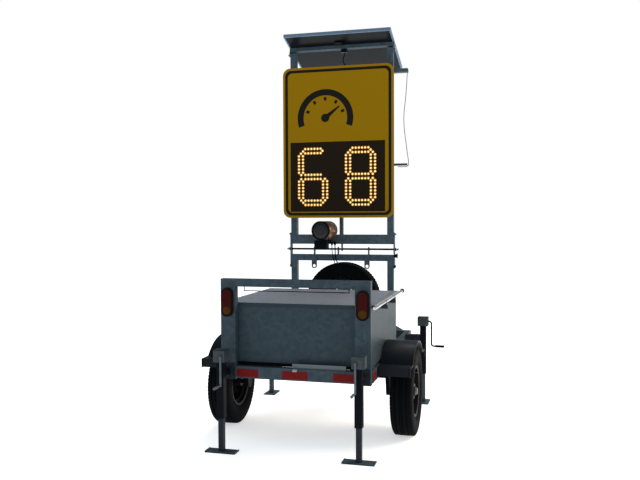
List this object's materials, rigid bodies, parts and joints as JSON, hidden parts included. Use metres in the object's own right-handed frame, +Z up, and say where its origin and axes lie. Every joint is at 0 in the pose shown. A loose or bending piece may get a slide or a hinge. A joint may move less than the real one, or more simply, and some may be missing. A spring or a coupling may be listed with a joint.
{
  "type": "solar speed sign trailer",
  "caption": "Towable road sign on a folding mast with a two-digit speed display, a solar panel on top, a radar, an equipment box and screw jacks.",
  "frame": {"origin": "on the ground under the middle of the bounding box", "axes": "+Z up, +Y towards the towing end, +X to the right for someone behind the trailer looking along +Y; the sign faces -Y"},
  "size_m": [1.66, 3.266, 3.012],
  "materials": {
    "galvanised": "hot-dip galvanised, dull",
    "galvanised_sheet": "grey zinc sheet",
    "black_steel": "black paint, satin",
    "zinc_bright": "bright zinc plate",
    "wheel_metal": "dark painted steel",
    "tyre": "black rubber",
    "black_plastic": "black, satin",
    "red_lens": "red lens",
    "amber_lens": "amber lens",
    "reflector": "red and white reflector",
    "clear_lens": "clear lens",
    "seal_rubber": "black sponge rubber",
    "battery_case": "grey moulding",
    "sign_face": "ochre reflective sheeting",
    "display_black": "smoked sheet",
    "circuit_board": "dark board",
    "radar_shell": "bronze shell",
    "cable_black": "black jacket",
    "cable_grey": "grey jacket",
    "aluminium": "anodised",
    "solar_glass": "dark glass laminate"
  },
  "bodies": {
    "chassis": {"batteries": "battery_case", "box_shell": "galvanised_sheet", "chassis_rails": "galvanised", "controllers": "black_plastic", "coupler": "zinc_bright", "cross_members": "galvanised", "fenders": "black_steel", "goal_post": "galvanised", "jack_front_left_tube": "black_steel", "jack_front_right_tube": "black_steel", "jack_mounts": "galvanised", "licence_lamp": "clear_lens", "lid_hinge_rod": "black_plastic", "lid_seal": "seal_rubber", "light_harness": "cable_black", "lower_mast": "galvanised", "mast_hinge_rod": "black_steel", "mast_lock_bolts": "black_steel", "plate_bracket": "galvanised_sheet", "radar_leads": "cable_black", "reflectors": "reflector", "spare_carrier": "galvanised", "spare_rim": "wheel_metal", "spare_tyre": "tyre", "tail_light_housings": "black_plastic", "tail_light_lenses": "red_lens", "tongue": "galvanised", "torsion_axles": "black_steel", "turn_lenses": "amber_lens"},
    "coupler_latch": {"coupler_latch": "zinc_bright"},
    "wheel_right": {"tyre_right": "tyre", "rim_right": "wheel_metal"},
    "wheel_left": {"tyre_left": "tyre", "rim_left": "wheel_metal"},
    "lid": {"box_lid": "galvanised_sheet", "lid_hinge_tube": "zinc_bright"},
    "mast": {"upper_mast": "galvanised", "sign_panel": "sign_face", "display_case": "galvanised_sheet", "display_window": "display_black", "led_boards": "circuit_board", "sign_rails": "galvanised", "arm_cable": "cable_grey", "radar_bracket": "black_steel", "solar_lead": "cable_black"},
    "lock_knob": {"mast_lock_knob": "black_plastic"},
    "radar": {"radar_head": "radar_shell"},
    "solar_panel": {"solar_frame": "aluminium", "solar_laminate": "solar_glass", "panel_mount": "galvanised"},
    "rear_jack_right": {"jack_rear_right_tube": "black_steel"},
    "rear_jack_left": {"jack_rear_left_tube": "black_steel"},
    "rear_leg_right": {"jack_rear_right_leg": "galvanised"},
    "rear_crank_right": {"jack_rear_right_crank": "zinc_bright"},
    "rear_leg_left": {"jack_rear_left_leg": "galvanised"},
    "rear_crank_left": {"jack_rear_left_crank": "zinc_bright"},
    "front_leg_right": {"jack_front_right_leg": "galvanised"},
    "front_crank_right": {"jack_front_right_crank": "zinc_bright"},
    "front_leg_left": {"jack_front_left_leg": "galvanised"},
    "front_crank_left": {"jack_front_left_crank": "zinc_bright"}
  },
  "joints": [
    {"name": "coupler_latch_lift", "type": "hinge", "parent": "chassis", "child": "coupler_latch", "pos_m": [0, 1.508, 0.598], "axis": [-1, 0, 0], "range_deg": [0, 60]},
    {"name": "wheel_right_spin", "type": "hinge", "parent": "chassis", "child": "wheel_right", "pos_m": [0.655, -0.792, 0.308], "axis": [1, 0, 0], "continuous": true},
    {"name": "wheel_left_spin", "type": "hinge", "parent": "chassis", "child": "wheel_left", "pos_m": [-0.655, -0.792, 0.308], "axis": [1, 0, 0], "continuous": true},
    {"name": "lid_open", "type": "hinge", "parent": "chassis", "child": "lid", "pos_m": [0.53, -0.757, 0.948], "axis": [0, -1, 0], "range_deg": [-100, 0]},
    {"name": "mast_fold", "type": "hinge", "parent": "chassis", "child": "mast", "pos_m": [0, 0.021, 1.264], "axis": [1, 0, 0], "range_deg": [0, 89], "deforming": ["radar_leads"]},
    {"name": "mast_lock_turn", "type": "hinge", "parent": "chassis", "child": "lock_knob", "pos_m": [0.44, 0.021, 1.211], "axis": [1, 0, 0], "range_deg": [-170, 170]},
    {"name": "radar_pan", "type": "hinge", "parent": "mast", "child": "radar", "pos_m": [-0.1085, -0.125, 1.35], "axis": [0, 0, 1], "range_deg": [-40, 40]},
    {"name": "panel_tilt", "type": "hinge", "parent": "mast", "child": "solar_panel", "pos_m": [0, 0.021, 2.882], "axis": [1, 0, 0], "range_deg": [-12, 12], "deforming": ["solar_lead"]},
    {"name": "rear_jack_right_swing", "type": "hinge", "parent": "chassis", "child": "rear_jack_right", "pos_m": [0.457, -1.417, 0.505], "axis": [0, 1, 0], "range_deg": [0, 90]},
    {"name": "rear_crank_right_turn", "type": "hinge", "parent": "rear_jack_right", "child": "rear_crank_right", "pos_m": [0.443, -1.517, 0.624], "axis": [0, 1, 0], "range_deg": [0, 7200]},
    {"name": "rear_leg_right_lift", "type": "slide", "parent": "rear_jack_right", "child": "rear_leg_right", "axis": [0, 0, 1], "range_m": [0, 0.12]},
    {"name": "front_crank_right_turn", "type": "hinge", "parent": "chassis", "child": "front_crank_right", "pos_m": [0.7, 0.129, 0.67], "axis": [1, 0, 0], "range_deg": [0, 7200]},
    {"name": "front_leg_right_lift", "type": "slide", "parent": "chassis", "child": "front_leg_right", "axis": [0, 0, 1], "range_m": [0, 0.12]},
    {"name": "rear_jack_left_swing", "type": "hinge", "parent": "chassis", "child": "rear_jack_left", "pos_m": [-0.457, -1.417, 0.505], "axis": [0, -1, 0], "range_deg": [0, 90]},
    {"name": "rear_crank_left_turn", "type": "hinge", "parent": "rear_jack_left", "child": "rear_crank_left", "pos_m": [-0.443, -1.517, 0.624], "axis": [0, 1, 0], "range_deg": [0, 7200]},
    {"name": "rear_leg_left_lift", "type": "slide", "parent": "rear_jack_left", "child": "rear_leg_left", "axis": [0, 0, 1], "range_m": [0, 0.12]},
    {"name": "front_crank_left_turn", "type": "hinge", "parent": "chassis", "child": "front_crank_left", "pos_m": [-0.7, 0.129, 0.67], "axis": [1, 0, 0], "range_deg": [0, 7200]},
    {"name": "front_leg_left_lift", "type": "slide", "parent": "chassis", "child": "front_leg_left", "axis": [0, 0, 1], "range_m": [0, 0.12]}
  ],
  "couplings": [
    {"joint": "rear_leg_right_lift", "follows": "rear_crank_right_turn", "m_per_rad": 0.00095493},
    {"joint": "rear_leg_left_lift", "follows": "rear_crank_left_turn", "m_per_rad": 0.00095493},
    {"joint": "front_leg_right_lift", "follows": "front_crank_right_turn", "m_per_rad": 0.00095493},
    {"joint": "front_leg_left_lift", "follows": "front_crank_left_turn", "m_per_rad": 0.00095493}
  ]
}
